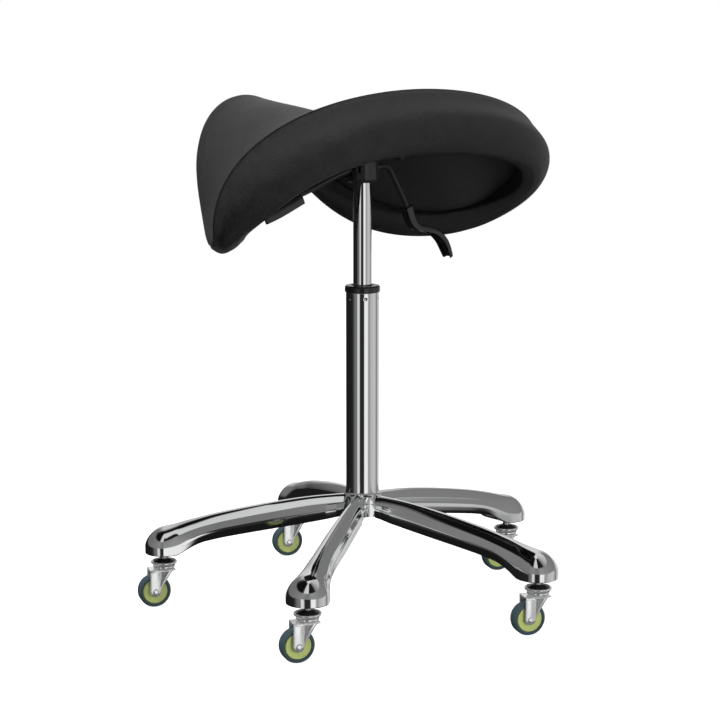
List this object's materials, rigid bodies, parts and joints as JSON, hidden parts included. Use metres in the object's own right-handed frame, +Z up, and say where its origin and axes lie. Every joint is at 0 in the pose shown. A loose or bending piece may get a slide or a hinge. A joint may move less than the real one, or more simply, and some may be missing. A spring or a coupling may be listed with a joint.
{
  "type": "saddle stool",
  "caption": "Height-adjustable saddle stool: padded saddle seat with tilt, height and tilt levers, gas lift, star base and swivel castors.",
  "frame": {"origin": "on the floor, under the centre of the column", "axes": "+Z up along the column, -Y towards the side that the picture was taken from, +X to the right in the picture"},
  "size_m": [0.6315, 0.6364, 0.7922],
  "materials": {
    "cast_base": "polished",
    "chromed_tube": "polished",
    "ground_steel": "satin",
    "zinc_steel": "satin",
    "black_steel": "satin",
    "black_plastic": "satin",
    "leatherette": "satin",
    "lining": "matte",
    "plywood": "matte",
    "wheel_plastic": "satin",
    "tyre_rubber": "satin"
  },
  "bodies": {
    "base": {"star_base": "cast_base", "column_tube": "chromed_tube", "guide_bush": "black_plastic", "castor_stem_1": "zinc_steel", "castor_seal_1": "black_plastic", "castor_stem_2": "zinc_steel", "castor_seal_2": "black_plastic", "castor_stem_3": "zinc_steel", "castor_seal_3": "black_plastic", "castor_stem_4": "zinc_steel", "castor_seal_4": "black_plastic", "castor_stem_5": "zinc_steel", "castor_seal_5": "black_plastic"},
    "swivel": {"piston_rod": "ground_steel", "rod_clip": "ground_steel", "bottom_washer": "ground_steel", "top_washer": "ground_steel", "thrust_bearing": "ground_steel"},
    "lift": {"pressure_tube": "chromed_tube", "mechanism_housing": "black_steel", "tilt_pin": "zinc_steel", "lift_lever_pin": "zinc_steel", "tilt_lever_pin": "zinc_steel"},
    "valve_button": {"release_button": "ground_steel"},
    "height_lever": {"lift_lever_rod": "black_steel", "lift_paddle": "black_plastic"},
    "tilt_lever": {"tilt_lever_rod": "black_steel", "tilt_paddle": "black_plastic"},
    "seat": {"seat_plate": "black_steel", "seat_bolt_1": "zinc_steel", "seat_bolt_2": "zinc_steel", "seat_bolt_3": "zinc_steel", "seat_bolt_4": "zinc_steel", "seat_shell": "plywood", "under_lining": "lining", "seat_pad": "leatherette"},
    "castor_1": {"castor_fork_1": "zinc_steel", "castor_axle_1": "zinc_steel"},
    "wheel_1": {"castor_wheel_1": "wheel_plastic", "castor_tyre_1": "tyre_rubber"},
    "castor_2": {"castor_fork_2": "zinc_steel", "castor_axle_2": "zinc_steel"},
    "wheel_2": {"castor_wheel_2": "wheel_plastic", "castor_tyre_2": "tyre_rubber"},
    "castor_3": {"castor_fork_3": "zinc_steel", "castor_axle_3": "zinc_steel"},
    "wheel_3": {"castor_wheel_3": "wheel_plastic", "castor_tyre_3": "tyre_rubber"},
    "castor_4": {"castor_fork_4": "zinc_steel", "castor_axle_4": "zinc_steel"},
    "wheel_4": {"castor_wheel_4": "wheel_plastic", "castor_tyre_4": "tyre_rubber"},
    "castor_5": {"castor_fork_5": "zinc_steel", "castor_axle_5": "zinc_steel"},
    "wheel_5": {"castor_wheel_5": "wheel_plastic", "castor_tyre_5": "tyre_rubber"}
  },
  "joints": [
    {"name": "seat_swivel", "type": "hinge", "parent": "base", "child": "swivel", "pos_m": [0, 0, 0.13], "axis": [0, 0, 1], "continuous": true},
    {"name": "height_slide", "type": "slide", "parent": "swivel", "child": "lift", "axis": [0, 0, 1], "range_m": [-0.135, 0.064]},
    {"name": "height_lever_hinge", "type": "hinge", "parent": "lift", "child": "height_lever", "pos_m": [0.01602, 0.01295, 0.669], "axis": [0.6288, -0.7776, 0], "range_deg": [0, 10], "stiffness_Nm_per_rad": 0.6, "springref_deg": -11.46},
    {"name": "valve_button_slide", "type": "slide", "parent": "lift", "child": "valve_button", "axis": [0, 0, -1], "range_m": [0, 0.0045]},
    {"name": "tilt_lever_hinge", "type": "hinge", "parent": "lift", "child": "tilt_lever", "pos_m": [-0.01602, -0.01295, 0.669], "axis": [0.6288, -0.7776, 0], "range_deg": [0, 8], "stiffness_Nm_per_rad": 0.8, "springref_deg": -14.32},
    {"name": "seat_tilt", "type": "hinge", "parent": "lift", "child": "seat", "pos_m": [-0.02641, 0.03266, 0.668], "axis": [-0.7776, -0.6288, 0], "range_deg": [-2, 8]},
    {"name": "castor_swivel_1", "type": "hinge", "parent": "base", "child": "castor_1", "pos_m": [-0.07673, -0.29519, 0.071], "axis": [0, 0, 1], "continuous": true},
    {"name": "wheel_spin_1", "type": "hinge", "parent": "castor_1", "child": "wheel_1", "pos_m": [-0.09194, -0.30014, 0.025], "axis": [0.309, -0.9511, 0], "continuous": true},
    {"name": "castor_swivel_2", "type": "hinge", "parent": "base", "child": "castor_2", "pos_m": [0.25703, -0.16419, 0.071], "axis": [0, 0, 1], "continuous": true},
    {"name": "wheel_spin_2", "type": "hinge", "parent": "castor_2", "child": "wheel_2", "pos_m": [0.24182, -0.16914, 0.025], "axis": [0.309, -0.9511, 0], "continuous": true},
    {"name": "castor_swivel_3", "type": "hinge", "parent": "base", "child": "castor_3", "pos_m": [0.23558, 0.19372, 0.071], "axis": [0, 0, 1], "continuous": true},
    {"name": "wheel_spin_3", "type": "hinge", "parent": "castor_3", "child": "wheel_3", "pos_m": [0.22037, 0.18877, 0.025], "axis": [0.309, -0.9511, 0], "continuous": true},
    {"name": "castor_swivel_4", "type": "hinge", "parent": "base", "child": "castor_4", "pos_m": [-0.11144, 0.28391, 0.071], "axis": [0, 0, 1], "continuous": true},
    {"name": "wheel_spin_4", "type": "hinge", "parent": "castor_4", "child": "wheel_4", "pos_m": [-0.12665, 0.27897, 0.025], "axis": [0.309, -0.9511, 0], "continuous": true},
    {"name": "castor_swivel_5", "type": "hinge", "parent": "base", "child": "castor_5", "pos_m": [-0.30445, -0.01825, 0.071], "axis": [0, 0, 1], "continuous": true},
    {"name": "wheel_spin_5", "type": "hinge", "parent": "castor_5", "child": "wheel_5", "pos_m": [-0.31967, -0.02319, 0.025], "axis": [0.309, -0.9511, 0], "continuous": true}
  ],
  "couplings": [
    {"joint": "valve_button_slide", "follows": "height_lever_hinge", "m_per_rad": 0.0236}
  ]
}
